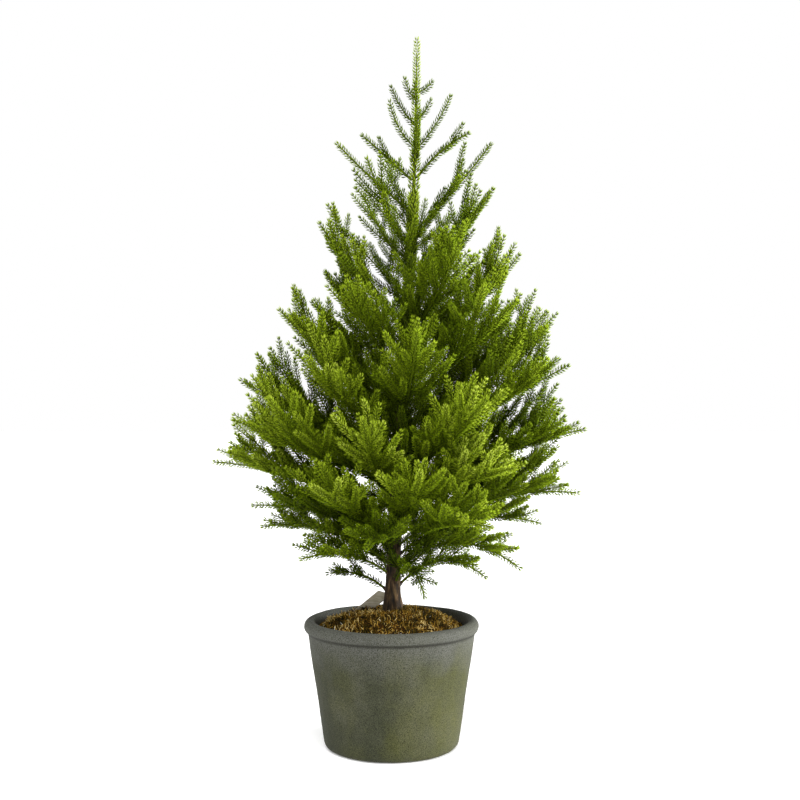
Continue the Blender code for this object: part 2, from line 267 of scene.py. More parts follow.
# one row for each branch: its root's height, bearing, reach, its tip's height, and its arch
branchRows = (
    (0.5, 174, 34, 3, 0.12),
    (1.5, 4, 49, 2.5, 0.22),
    (2, 290, 46, 1.5, 0.25),
    (2.5, 112, 60, 5.5, 0.14),
    (3.5, 218, 58, 7.5, 0.10),
    (4, 52, 69, 6.5, 0.15),
    (5, 338, 69, 5.5, 0.18),
    (5.5, 172, 71, 11.5, 0.10),
    (6.5, 258, 62, 10.5, 0.12),
    (7, 10, 80, 12, 0.12),
    (8, 134, 74, 15, 0.10),
    (8.5, 306, 79, 14, 0.08),
    (9, 82, 83, 15.5, 0.10),
    (10, 200, 76, 16.5, 0.06),
    (10.5, 349, 96, 18.5, 0.08),
    (11.5, 236, 71, 20.5, -0.02),
    (12.5, 38, 84, 22, 0.07),
    (13.5, 176, 97, 23.5, 0.06),
    (14, 280, 69, 23, -0.08),
    (15, 100, 87, 25.5, 0.04),
    (15, 316, 80, 23.5, 0.03),
    (18, 3, 100, 29.5, 0.03),
    (18.5, 150, 82, 31.5, 0.02),
    (19.5, 206, 90, 31.5, 0.0),
    (20.5, 255, 64, 31.5, -0.12),
    (21.5, 60, 85, 33.5, 0.02),
    (22.5, 304, 76, 35, -0.06),
    (24, 180, 83, 38.5, -0.02),
    (25, 350, 89, 41, 0.0),
    (26.5, 98, 74, 40, 0.0),
    (28, 225, 64, 42, -0.05),
    (29.5, 22, 91, 49.5, -0.02),
    (30.5, 140, 66, 45.5, 0.0),
    (32, 278, 57, 46, -0.10),
    (34, 188, 64, 51, -0.04),
    (35.5, 330, 66, 52, -0.03),
    (37.5, 70, 62, 52.5, 0.0),
    (39.5, 240, 55, 54.5, -0.06),
    (41.5, 5, 62, 61.5, -0.03),
    (44, 150, 50, 59, -0.03),
    (46.5, 300, 53, 61.5, -0.06),
    (49.5, 190, 46, 66.5, -0.04),
    (52, 45, 46, 68.5, -0.03),
    (55.5, 345, 45, 72.5, -0.02),
    (59, 135, 36, 73.5, -0.03),
    (62.5, 235, 39, 76.5, -0.04),
    (66, 12, 43, 82, -0.02),
    (69.5, 178, 40, 81.5, -0.02),
    (75.5, 352, 28, 83, 0.06),
    (75, 188, 27, 82.5, 0.0),
)
leaderRows = (
    (77.5, 85, 20, 85.5, 0.0),
    (78, 275, 17, 86, 0.0),
    (80, 354, 18, 89.5, -0.04),
    (80.5, 186, 13, 88.5, -0.08),
    (84.5, 170, 12.5, 91.5, -0.04),
    (85.5, 8, 7.5, 89, -0.05),
    (88, 262, 5, 91.5, -0.05),
    (89, 200, 6, 92.5, -0.08),
    (90.5, 15, 8, 92.5, -0.08),
)


def between(start, end, share):
    return start + (end - start) * share


def unit(vector):
    return vector / np.linalg.norm(vector)


def outwardAt(turn):
    return np.array([math.cos(turn), math.sin(turn), 0.0])


def fromMiddle(place):
    return math.hypot(place[0], place[1])


def crownHeight(percent):
    return tree["crownBase"] + (tree["height"] - tree["crownBase"]) * percent / 100


trunkTop = crownHeight(tree["leaderPlace"])


def trunkAxis(height):
    share = max(0.0, (height - tree["mossTop"]) / (tree["height"] - tree["mossTop"]))
    sway = -tree["sway"] * math.sin(math.tau * share)
    return np.array([tree["lean"] * share ** tree["leanPower"] + sway, sway, height])


def trunkRadius(height):
    above = max(0.0, height - tree["mossTop"])
    taper = above / (trunkTop - tree["mossTop"])
    flare = tree["rootFlare"] * math.exp(-above / tree["flareHeight"])
    return between(tree["trunkRadius"], tree["trunkTopRadius"], taper) + flare


def leaderRadius(height):
    share = (height - trunkTop) / (tree["height"] - trunkTop)
    return between(tree["leaderRadius"], tree["leaderTip"], share)


def carrierRadius(height):
    return leaderRadius(height) if height > trunkTop else trunkRadius(height)


def branchBow(row, carrier):
    # the three points of a branch's curve: its root, the point that pulls it up, and its tip
    outward = outwardAt(math.radians(row[1]))
    axis = trunkAxis(crownHeight(row[0]))
    tip = axis + outward * tree["spread"] * row[2] / 100
    tip[2] = crownHeight(row[3])
    steep = unit(tip - axis)[2]
    sideways = abs(steep) + math.sin(math.radians(tree["rootSwing"]))
    root = axis + outward * (carrier + tree["stemRadius"] * sideways + tree["bendGap"])
    straight = tip - root
    level = unit(np.cross(up, straight))
    lift = unit(np.cross(straight, level)) * np.linalg.norm(straight) * row[4] * 2
    return root, (root + tip) / 2 + lift, tip


def bowPoint(bow, share):
    return bow[0] * (1 - share) ** 2 + bow[1] * 2 * share * (1 - share) + bow[2] * share**2


def alongBow(bow, share):
    ahead = (bow[1] - bow[0]) * (1 - share) + (bow[2] - bow[1]) * share
    return bowPoint(bow, share), unit(ahead)


def bowLength(bow):
    places = [bowPoint(bow, step / 8) for step in range(9)]
    return sum(np.linalg.norm(b - a) for a, b in zip(places, places[1:]))


# ---- one needle, modelled once and laid along every twig
needle = {"length": 0.0084, "thickness": 0.00150, "widestAt": 0.55, "bow": 0.0006, "stripWidth": 0.03}


def shapeNeedle():
    # a three-sided cone whose base is pulled down to a point, so that it is widest half way up
    clearSelection()
    long, widest = needle["length"], needle["length"] * needle["widestAt"]
    bpy.ops.mesh.primitive_cone_add(
        vertices=3,
        radius1=needle["thickness"] / 2,
        radius2=0.0,
        depth=long - widest,
        end_fill_type="TRIFAN",
        location=(0, 0, (long + widest) / 2),
    )
    piece = bpy.context.object
    bpy.ops.object.transform_apply(location=True)
    selectPoints(piece, lambda place: place.z < widest * 1.01 and math.hypot(place.x, place.y) < 1e-6)
    bpy.ops.transform.translate(value=(0, 0, -widest))
    selectPoints(piece, lambda place: abs(place.z - widest) < widest * 0.01)
    bpy.ops.transform.translate(value=(needle["bow"], 0, 0))
    setMode("OBJECT")
    return piece


def readShape(piece):
    # a shape's vertices and faces, to be copied many times
    mesh = piece.data
    places = np.array([vertex.co[:] for vertex in mesh.vertices])
    faces = [list(face.vertices) for face in mesh.polygons]
    bpy.data.objects.remove(piece, do_unlink=True)
    return places, faces


needlePlaces, needleFaces = readShape(shapeNeedle())
print("needle", len(needlePlaces), "vertices", len(needleFaces), "faces")


# ---- foliage: every twig is a curve, its needles stand on it in rings
foliage = {
    "ringSpacing": 0.0038,
    "needlesInRing": 8,
    "lean": 45.0,
    "leanScatter": 6.0,
    "tipLean": 17.0,
    "tipLength": 0.005,
    "sizeScatter": (0.86, 1.10),
    "turnScatter": 0.2,
    "turnDrift": 0.05,
    "rootSink": 0.6,
    "rootSlide": 0.0004,
    "uprightFrom": 0.85,
    "stemTone": (0.93, 0.985),
    "stemSpacing": 0.012,
    "topTone": 0.86,
    "toneScatter": 0.12,
    "toneCurve": 1.6,
    "twigMood": 0.12,
    "branchMood": (-0.14, 0.14),
    "tipLighter": 0.07,
    "branchNeedles": (1.0, 0.86),
    "twigNeedles": (0.95, 0.80),
}
# painted shade and light for the needles' tone, by where they sit in the crown
shade = {"inside": 0.08, "front": 0.26, "outside": 0.33, "fullAt": 0.8, "high": 0.24}
twigShape = {
    "radius": 0.0010,
    "tipRadius": 0.0006,
    "spacing": 0.0165,
    "share": 0.42,
    "shortest": 0.012,
    "angle": 47.0,
    "forwardBend": 15.0,
    "lift": 14.0,
    "fanRoll": 12.0,
    "bareRoot": 0.16,
    "bareTip": 0.80,
    "placeScatter": (0.2, 0.8),
    "reachScatter": (0.75, 1.1),
    "swell": (0.16, 0.70),
    "keptWhenSparse": 0.35,
    "wander": 0.045,
    "middleUp": 0.03,
    "tipUp": 0.17,
    "rootDepth": 0.0035,
    "fullBelow": 0.70,
    "thinning": 0.16,
    "reach": 0.968,
    "outline": 0.90,
    "tipOutline": 0.97,
    "cutBack": 0.88,
}
# what stands beside each side twig where the crown is full: a twin on the other side, and one that rises
extraTwigs = (
    {"side": -1, "scatter": 0.3, "last": 0.80, "lift": (-14.0, 21.0), "share": (0.70, 1.05), "angle": 42.0},
    {"side": 1, "scatter": 0.4, "last": 0.78, "lift": (50.0, 95.0), "share": (0.75, 1.15), "angle": 36.0},
)
offshoot = {
    "radius": 0.0008,
    "spacing": 0.0220,
    "share": (0.36, 0.56),
    "shortest": 0.010,
    "angle": 42.0,
    "bareRoot": 0.16,
    "free": 0.66,
    "counted": 0.72,
    "placeScatter": (0.1, 0.9),
    "lift": (-20, 45),
    "rootLonger": 1.25,
    "tipShorter": 0.7,
}


def twigBow(place, ahead, beside, reach, angle):
    first = math.radians(angle)
    second = math.radians(angle - twigShape["forwardBend"])
    middle = place + (ahead * math.cos(first) + beside * math.sin(first)) * reach / 2
    tip = middle + (ahead * math.cos(second) + beside * math.sin(second)) * reach / 2
    return place, middle, tip


def sideOf(ahead, side, lift):
    level = unit(np.cross(up, ahead))
    upward = np.cross(ahead, level)
    return level * side * math.cos(lift) + upward * math.sin(lift)


def heldTwig(place, ahead, beside, reach, angle, limit):
    # a twig shortened until it stays inside the crown's outline
    twig = twigBow(place, ahead, beside, reach, angle)
    while fromMiddle(twig[2]) > limit and reach > twigShape["shortest"]:
        reach *= twigShape["cutBack"]
        twig = twigBow(place, ahead, beside, reach, angle)
    return twig


def wandered(bow, chance):
    # no real twig is a perfect arc: its middle drifts a little, and its tip turns up
    length = bowLength(bow)
    drift = np.array([chance.uniform(-1, 1) for _ in range(3)]) * length * twigShape["wander"]
    middle = bow[1] + drift + up * length * twigShape["middleUp"]
    return bow[0], middle, bow[2] + up * length * twigShape["tipUp"]


def sideTwigs(bow, number, fullness):
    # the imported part's own side twigs, drawn with the same chances, and the extra twigs beside them
    chance = random.Random(number)
    own = random.Random(500 + number)
    length = bowLength(bow)
    tipLimit = fromMiddle(bow[2]) * twigShape["tipOutline"]
    limit = fromMiddle(bow[2]) * twigShape["outline"]
    roll = math.radians(chance.uniform(-twigShape["fanRoll"], twigShape["fanRoll"]))
    free = twigShape["bareTip"] - twigShape["bareRoot"]
    count = int(length * free / twigShape["spacing"])
    twigs = []
    for step in range(count):
        share = twigShape["bareRoot"] + free * (step + chance.uniform(*twigShape["placeScatter"])) / count
        place, ahead = alongBow(bow, share)
        side = 1 if step % 2 else -1
        lift = roll * side + math.radians(chance.uniform(0.0, twigShape["lift"]))
        swell = math.sin(math.pi * (twigShape["swell"][0] + twigShape["swell"][1] * share))
        reach = length * twigShape["share"] * swell * chance.uniform(*twigShape["reachScatter"])
        reach = max(reach, twigShape["shortest"])
        beside = sideOf(ahead, side, lift)
        twig = wandered(heldTwig(place, ahead, beside, reach, twigShape["angle"], tipLimit), own)
        if own.random() < twigShape["keptWhenSparse"] + fullness:
            twigs.append(twig)
        for extra in extraTwigs:
            if own.random() > fullness:
                break
            drift = own.uniform(-extra["scatter"], extra["scatter"]) * free / count
            place, ahead = alongBow(bow, min(share + drift, extra["last"]))
            lift = math.radians(own.uniform(*extra["lift"]))
            extraReach = reach * own.uniform(*extra["share"])
            beside = sideOf(ahead, side * extra["side"], lift)
            twigs.append(wandered(heldTwig(place, ahead, beside, extraReach, extra["angle"], limit), own))
    return twigs


def offshoots(bow, chance, fullness, limit):
    # short third twigs on the longer side twigs
    length = bowLength(bow)
    count = int(length * offshoot["counted"] * fullness / offshoot["spacing"])
    shoots = []
    for step in range(count):
        spot = step + chance.uniform(*offshoot["placeScatter"])
        share = offshoot["bareRoot"] + offshoot["free"] * spot / count
        place, ahead = alongBow(bow, share)
        side = chance.choice((-1, 1)) if step == 0 else -side
        lift = math.radians(chance.uniform(*offshoot["lift"]))
        reach = length * chance.uniform(*offshoot["share"])
        reach *= offshoot["rootLonger"] - offshoot["tipShorter"] * share
        if reach > offshoot["shortest"]:
            shoot = heldTwig(place, ahead, sideOf(ahead, side, lift), reach, offshoot["angle"], limit)
            shoots.append(wandered(shoot, chance))
    return shoots


def turned(first, second, angle):
    return first * np.cos(angle) + second * np.sin(angle)


def samplePath(bow, spacing):
    count = max(3, int(round(bowLength(bow) / spacing)) + 1)
    share = np.linspace(0.0, 1.0, count)[:, None]
    return bowPoint(bow, share)


def acrossPath(path):
    # for each point of a path: the way ahead, and two directions square to it
    ahead = np.gradient(path, axis=0)
    ahead /= np.linalg.norm(ahead, axis=1)[:, None]
    guide = up if abs(ahead[:, 2].mean()) < foliage["uprightFrom"] else np.array([1.0, 0.0, 0.0])
    first = np.cross(ahead, guide)
    first /= np.linalg.norm(first, axis=1)[:, None]
    return ahead, first, np.cross(ahead, first)


def laidAlong(roots, local, across, beside, along):
    return roots + local[..., 0:1] * across + local[..., 1:2] * beside + local[..., 2:3] * along


class Growth:
    # gathers the vertices, faces and colour strip places of one needled piece

    def __init__(self, seed):
        self.places, self.sizes, self.corners, self.marks = [], [], [], []
        self.total = 0
        self.draw = np.random.default_rng(seed)

    def scatter(self, width, shape):
        return self.draw.uniform(-width, width, shape)

    def add(self, places, sizes, corners, marks):
        self.places.append(places.reshape(-1, 3))
        self.sizes.append(sizes)
        self.corners.append(corners + self.total)
        self.marks.append(marks)
        self.total += len(self.places[-1])

    def addStem(self, path, startRadius, endRadius, sides):
        _, first, second = acrossPath(path)
        count = len(path)
        turn = math.tau * np.arange(sides) / sides
        radius = np.linspace(startRadius, endRadius, count)[:, None, None]
        ring = turned(first[:, None], second[:, None], turn[None, :, None])
        places = path[:, None] + ring * radius
        low, high = foliage["stemTone"]
        step = (high - low) / sides
        faces, marks = [], []
        for row in range(count - 1):
            for side in range(sides):
                after = (side + 1) % sides
                a, b = row * sides + side, row * sides + after
                faces.append([a, b, b + sides, a + sides])
                left, right = low + step * side, low + step * (side + 1)
                bottom, top = row / (count - 1), (row + 1) / (count - 1)
                marks += [(left, bottom), (right, bottom), (right, top), (left, top)]
        for row, order in ((0, -1), (count - 1, 1)):
            faces.append([row * sides + side for side in range(sides)][::order])
            marks += [(low + step * (1 + math.cos(t)), 0.5 + 0.4 * math.sin(t)) for t in turn]
        self.add(places, [len(face) for face in faces], np.concatenate(faces), marks)

    def addNeedles(self, path, startRadius, endRadius, tone, tipTone, size, inRing):
        # rings of needles along a path, every second ring turned by half a step
        ahead, first, second = acrossPath(path)
        rings = len(path)
        left = (rings - 1 - np.arange(rings)) * foliage["ringSpacing"]
        nearTip = np.clip(1 - left / foliage["tipLength"], 0, 1)
        shape = (rings, inRing)
        turn = math.tau * (np.arange(inRing)[None] + 0.5 * (np.arange(rings)[:, None] % 2)) / inRing
        turn = turn + self.scatter(foliage["turnScatter"], shape)
        turn = turn + np.arange(rings)[:, None] * foliage["turnDrift"]
        lean = foliage["lean"] + self.scatter(1, shape) * foliage["leanScatter"]
        lean = np.radians(lean + (foliage["tipLean"] - foliage["lean"]) * nearTip[:, None])
        outward = turned(first[:, None], second[:, None], turn[..., None])
        forward = np.broadcast_to(ahead[:, None], outward.shape)
        along = turned(forward, outward, lean[..., None])
        bulge = turned(outward, -forward, lean[..., None])
        beside = np.cross(forward, outward)
        radius = np.linspace(startRadius, endRadius, rings)[:, None, None]
        roots = path[:, None] + outward * radius * foliage["rootSink"]
        roots = roots + forward * self.scatter(foliage["rootSlide"], shape)[..., None]
        grow = self.draw.uniform(*foliage["sizeScatter"], shape) * np.linspace(*size, rings)[:, None]
        local = needlePlaces[None, None] * grow[..., None, None]
        places = laidAlong(roots[:, :, None], local, bulge[:, :, None], beside[:, :, None], along[:, :, None])
        # the needles' tone runs from the painted shade at the path's root to the lighter painted light at its
        # tip, with random scatter
        share = np.linspace(0, 1, rings)[:, None]
        tones = between(tone, tipTone, share ** foliage["toneCurve"])
        tones = tones + self.scatter(foliage["toneScatter"], shape)
        tones = np.clip(tones, 0.0, foliage["topTone"]).ravel()
        self.add(places, *copies(needleFaces, needleMarks, len(needlePlaces), tones))

    def build(self, name):
        lists = (self.places, self.sizes, self.corners, self.marks)
        return meshFrom(name, *[np.concatenate(values) for values in lists])


def meshFrom(name, places, sizes, corners, marks):
    mesh = bpy.data.meshes.new(name)
    mesh.vertices.add(len(places))
    mesh.vertices.foreach_set("co", places.astype(np.float32).ravel())
    mesh.loops.add(len(corners))
    mesh.loops.foreach_set("vertex_index", corners.astype(np.int32))
    mesh.polygons.add(len(sizes))
    mesh.polygons.foreach_set("loop_start", np.concatenate([[0], np.cumsum(sizes)[:-1]]).astype(np.int32))
    mesh.update(calc_edges=True)
    layer = mesh.uv_layers.new(name="OFBake")
    layer.uv.foreach_set("vector", marks.astype(np.float32).ravel())
    mesh.validate()
    piece = bpy.data.objects.new(name, mesh)
    bpy.context.collection.objects.link(piece)
    return piece


def copies(faces, marks, vertices, tones):
    # the face sizes, corners and strip places of one copy of a shape for each tone
    corners = np.concatenate(faces)
    starts = np.arange(len(tones))[:, None] * vertices
    strip = np.empty((len(tones), len(corners), 2))
    strip[..., 0] = tones[:, None] + marks[None, :, 0]
    strip[..., 1] = marks[None, :, 1]
    sizes = np.tile([len(face) for face in faces], len(tones))
    return sizes, (starts + corners[None]).ravel(), strip.reshape(-1, 2)


stripUse = {"near": 0.01, "flat": (0.01, 0.03), "low": 0.02, "tall": 0.96}


def markShape(places, faces, width):
    # where each corner of the shape lies on the colour strip: across it by turn, along it by height
    high = places[:, 2].max()
    marks = []
    for face in faces:
        flat = places[face, 2].max() < high * stripUse["near"]
        for step, corner in enumerate(face):
            if flat:
                marks.append((width * step / len(face), stripUse["flat"][step % 2]))
            else:
                turn = math.atan2(places[corner, 1], places[corner, 0]) / math.tau % 1.0
                tip = places[corner, 2] > high * (1 - stripUse["near"])
                rise = stripUse["low"] + stripUse["tall"] * places[corner, 2] / high
                marks.append((width * (0.5 if tip else turn), rise))
    return np.array(marks)


needleMarks = markShape(needlePlaces, needleFaces, needle["stripWidth"])


def paintedLightAt(place):
    # painted shade and painted light in the needles' tone: darker close to the trunk, low down and at the
    # back, lighter at the crown's outside
    axis = trunkAxis(min(max(place[2], tree["crownBase"]), tree["height"]))
    out = np.linalg.norm((place - axis)[:2]) / tree["spread"]
    front = shade["front"] * max(0.0, -place[1] / tree["spread"])
    high = max(0.0, (place[2] - tree["crownBase"]) / (tree["height"] - tree["crownBase"]))
    return shade["inside"] + front + shade["outside"] * min(out / shade["fullAt"], 1.0) + shade["high"] * high


def growTwig(growth, bow, radii, sides, chance, branchMood=0.0, size=foliage["twigNeedles"]):
    path = samplePath(bow, foliage["ringSpacing"])
    growth.addStem(samplePath(bow, foliage["stemSpacing"]), *radii, sides)
    mood = branchMood + chance.uniform(-foliage["twigMood"], foliage["twigMood"])
    # the twig's root takes the painted shade of its place in the crown and its tip the lighter painted light
    # there, raised further by tipLighter, both shifted by a random mood
    tone = paintedLightAt(bow[0]) + mood
    tipTone = paintedLightAt(bow[2]) + mood + foliage["tipLighter"]
    growth.addNeedles(path[1:], *radii, tone, tipTone, size, foliage["needlesInRing"])


def growOffshoots(growth, bow, chance, fullness, limit, mood=0.0):
    for shoot in offshoots(bow, chance, fullness, limit):
        growTwig(growth, shoot, (offshoot["radius"], twigShape["tipRadius"]), 3, chance, mood)


def rootInto(bow, depth):
    # a short stub that carries a stem's root on into what it grows from
    place, ahead = alongBow(bow, 0.0)
    return np.array([place - ahead * depth, place - ahead * depth / 2, place + ahead * depth / 4])


def growBranch(number, row):
    chance = random.Random(900 + number)
    height = crownHeight(row[0])
    bow = branchBow(row, carrierRadius(height))
    bow = tuple(between(bow[0], place, twigShape["reach"]) for place in bow)
    growth = Growth(number)
    mood = chance.uniform(*foliage["branchMood"])
    growTwig(growth, bow, (tree["stemRadius"], tree["stemTip"]), 6, chance, mood, foliage["branchNeedles"])
    growth.addStem(rootInto(bow, twigShape["rootDepth"]), tree["stemRadius"], tree["stemRadius"], 6)
    fullness = min(1.0, max(0.0, (twigShape["fullBelow"] - height) / twigShape["thinning"]))
    limit = fromMiddle(bow[2]) * twigShape["outline"]
    for twig in sideTwigs(bow, number, fullness):
        growTwig(growth, twig, (twigShape["radius"], twigShape["tipRadius"]), 4, chance, mood)
        growOffshoots(growth, twig, chance, fullness, limit, mood)
    piece = growth.build(f"spray{number:02}")
    name = f"branch_{number:02}"
    finishPiece(piece, piece.name, needleFinish, name, "green_plastic", name)


def makeNeedleFinish():
    finish, graph, shader = newFinish("moulded needles", roughness=0.6, specular=0.06)
    strip = stripPlace(graph)
    # body: the needle's root colour by tone, whose dark low tones are painted shade deep in the crown
    body = addRamp(graph, strip["X"], needleTones)
    tip = addRamp(graph, strip["X"], needleTipTones)
    # from root to tip: painted shade at the needle's root, then a lighter tip that is partly painted
    # highlight
    rise = addRamp(graph, strip["Y"], needleShadeToHighlight)
    paint(graph, addMix(graph, "MIX", rise, body, tip), shader)
    return finish


# needle colours by tone: the dark low tones are painted shade, the stops from 0.92 on are the stems' own
# colour
needleTones = (
    (0.00, (24, 33, 0)),
    (0.25, (44, 57, 0)),
    (0.50, (68, 84, 2)),
    (0.75, (98, 114, 12)),
    (0.90, (120, 136, 30)),
    (0.92, (76, 92, 10)),
    (1.00, (88, 102, 16)),
)
# the same at the needles' tips, lighter, partly painted highlight
needleTipTones = (
    (0.00, (54, 71, 0)),
    (0.25, (92, 116, 4)),
    (0.50, (138, 164, 18)),
    (0.75, (184, 208, 52)),
    (0.90, (218, 234, 100)),
    (0.92, (76, 92, 10)),
    (1.00, (88, 102, 16)),
)
# painted shade at the needle's root, fading out towards the tip
needleShadeToHighlight = ((0.0, (0, 0, 0)), (0.3, (80, 80, 80)), (0.7, (200, 200, 200)), (1.0, (255, 255, 255)))
needleFinish = makeNeedleFinish()
for rowNumber, branchRow in enumerate(branchRows, 1):
    growBranch(rowNumber, branchRow)
print("branches", len(branchRows))


# ---- leader: the top stem with its own short twigs
leader = {
    "rootDepth": 0.004,
    "coreStep": 6,
    "coreShare": (0.8, 0.7),
    "coreSides": 8,
    "tones": (0.64, 0.70),
    "needleSizes": (1.2, 0.80),
    "needlesInRing": 9,
    "twigRadius": 0.0011,
}


def growLeader():
    chance = random.Random(77)
    gap = tree["fitGap"] + tree["bendGap"] + tree["leaderRadius"] * math.sin(math.radians(tree["leaderBend"]))
    heights = np.arange(trunkTop + gap, tree["height"], foliage["ringSpacing"])
    path = np.array([trunkAxis(height) for height in heights])
    ends = (tree["leaderRadius"], tree["leaderTip"])
    growth = Growth(77)
    core = np.concatenate([[trunkAxis(trunkTop - leader["rootDepth"])], path[:: leader["coreStep"]]])
    growth.addStem(core, *[end * share for end, share in zip(ends, leader["coreShare"])], leader["coreSides"])
    growth.addNeedles(path[1:], *ends, *leader["tones"], leader["needleSizes"], leader["needlesInRing"])
    for row in leaderRows:
        bow = branchBow(row, 0.0)
        bow = (trunkAxis(crownHeight(row[0])), bow[1], bow[2])
        growTwig(growth, bow, (leader["twigRadius"], twigShape["tipRadius"]), 4, chance)
    finishPiece(growth.build("leaderSpray"), "leaderSpray", needleFinish, "leader", "leader_green", "leader")


# ---- sleeve: needles on the upper trunk itself, and the short sprigs that fill the crown round it
sleeve = {
    "start": 0.34,
    "tones": (0.26, 0.72),
    "needleSizes": (1.1, 1.1),
    "needlesInRing": 14,
    "ringSpacing": 0.0022,
    "sprigs": 50,
    "sprigHeights": (0.27, 0.68),
    "turn": 137.5,
    "turnScatter": (-20, 20),
    "rise": (30.0, 55.0),
    "reaches": (0.155, 0.090),
    "reachScatter": (0.8, 1.15),
    "rootShare": 0.5,
    "sag": 0.06,
    "fullness": 0.68,
}
def growSleeve():
    heights = np.arange(sleeve["start"], trunkTop, sleeve["ringSpacing"])
    path = np.array([trunkAxis(height) for height in heights])
    growth = Growth(78)
    ends = (trunkRadius(sleeve["start"]), trunkRadius(trunkTop))
    # the sleeve's needle tones are painted shade low inside the crown, growing lighter higher up
    growth.addNeedles(path, *ends, *sleeve["tones"], sleeve["needleSizes"], sleeve["needlesInRing"])
    chance = random.Random(78)
    for step in range(sleeve["sprigs"]):
        share = (step + chance.uniform(*offshoot["placeScatter"])) / sleeve["sprigs"]
        height = between(*sleeve["sprigHeights"], share)
        out = outwardAt(math.radians(step * sleeve["turn"] + chance.uniform(*sleeve["turnScatter"])))
        rise = math.radians(chance.uniform(*sleeve["rise"]))
        reach = between(*sleeve["reaches"], share)
        reach *= chance.uniform(*sleeve["reachScatter"])
        root = trunkAxis(height) + out * trunkRadius(height) * sleeve["rootShare"]
        tip = root + (out * math.cos(rise) + up * math.sin(rise)) * reach
        bow = (root, (root + tip) / 2 - up * reach * sleeve["sag"], tip)
        growTwig(growth, bow, (leader["twigRadius"], twigShape["tipRadius"]), 4, chance)
        growOffshoots(growth, bow, chance, sleeve["fullness"], reach + trunkRadius(height))
    finishPiece(growth.build("trunkSleeve"), "trunkSleeve", needleFinish, "stand", "green_plastic")


growLeader()
growSleeve()
print("leader and trunk sleeve")


# ---- planter: one ring drawn up the outside, over the rim and down the inside
planter = {
    "height": 0.1636,
    "foot": 0.0877,
    "shoulder": 0.1085,
    "roll": 0.0083,
    "overhang": 0.0051,
    "rollStart": -50,
    "edge": 0.0085,
    "wall": 0.0095,
    "floor": 0.0140,
    "sides": 160,
    "flatRings": (0.03, 0.06),
    "edgeRows": 8,
    "wallRows": 36,
    "rollRows": 24,
    "innerRows": 18,
    "innerTaper": 0.93,
    "flatBelow": 0.002,
    "broadWave": (22, 0.0007),
    "fineWave": (130, 0.00022),
}


def roundStretch(radius, height, size, start, end, steps):
    turns = [math.radians(start + (end - start) * step / steps) for step in range(steps + 1)]
    return [(radius + size * math.cos(turn), height + size * math.sin(turn)) for turn in turns]


def straightStretch(start, end, rows):
    return [tuple(between(a, b, row / rows) for a, b in zip(start, end)) for row in range(1, rows + 1)]


def planterOutline():
    roll, edge = planter["roll"], planter["edge"]
    middle = (planter["shoulder"] + planter["overhang"] - roll, planter["height"] - roll)
    outline = [(radius, 0.0) for radius in planter["flatRings"]]
    outline += roundStretch(planter["foot"] - edge, edge, edge, -90, 0, planter["edgeRows"])
    shoulder = (planter["shoulder"], middle[1] - roll)
    outline += straightStretch((planter["foot"], edge), shoulder, planter["wallRows"])
    inside = (planter["shoulder"] - planter["wall"], shoulder[1])
    turn = math.degrees(math.acos((inside[0] - middle[0]) / roll))
    outline += roundStretch(*middle, roll, planter["rollStart"], turn, planter["rollRows"])
    floorRadius = inside[0] - (planter["shoulder"] - planter["foot"]) * planter["innerTaper"]
    outline += straightStretch(inside, (floorRadius, planter["floor"]), planter["innerRows"])
    return outline + [(planter["flatRings"][0], planter["floor"])]


waveShift = Vector((5, 0, 2))


def shapePlanter():
    rings = [(radius, height, 0.0, 0.0) for radius, height in planterOutline()]
    piece = startRing(planter["sides"], rings[0])
    raiseRings(rings)
    closeRings(60)

    def clayShift(place):
        if place.z < planter["flatBelow"]:
            return 0.0
        (broad, broadDepth), (fine, fineDepth) = planter["broadWave"], planter["fineWave"]
        return noise.noise(place * broad) * broadDepth + noise.noise(place * fine + waveShift) * fineDepth

    shiftPoints(piece, clayShift)
    return piece


clay = {
    "cloud": ((0.38, (55, 58, 39)), (0.50, (65, 67, 50)), (0.62, (80, 81, 67))),
    "bloom": ((0.45, (0, 0, 0)), (0.66, (200, 200, 200))),
    "moss": (80, 82, 20),
    "band": ((0.62, (0, 0, 0)), (0.90, (235, 235, 235))),
    "bandWander": (0.30, -0.15),
    "rim": (92, 93, 89),
    # a painted shadow line under the rolled rim's overhang
    "creaseShadow": (
        (0.885, (255, 255, 255)),
        (0.903, (150, 148, 140)),
        (0.912, (150, 148, 140)),
        (0.925, (255, 255, 255)),
    ),
    "speck": ((0.36, (128, 127, 116)), (0.50, (220, 220, 212)), (0.60, (255, 255, 255))),
    "fleck": ((0.62, (0, 0, 0)), (0.78, (130, 130, 130))),
    "sand": (124, 122, 84),
    "pit": ((0.03, (90, 90, 90)), (0.075, (255, 255, 255))),
    "rough": ((0.3, (222, 222, 222)), (0.7, (242, 242, 242))),
}


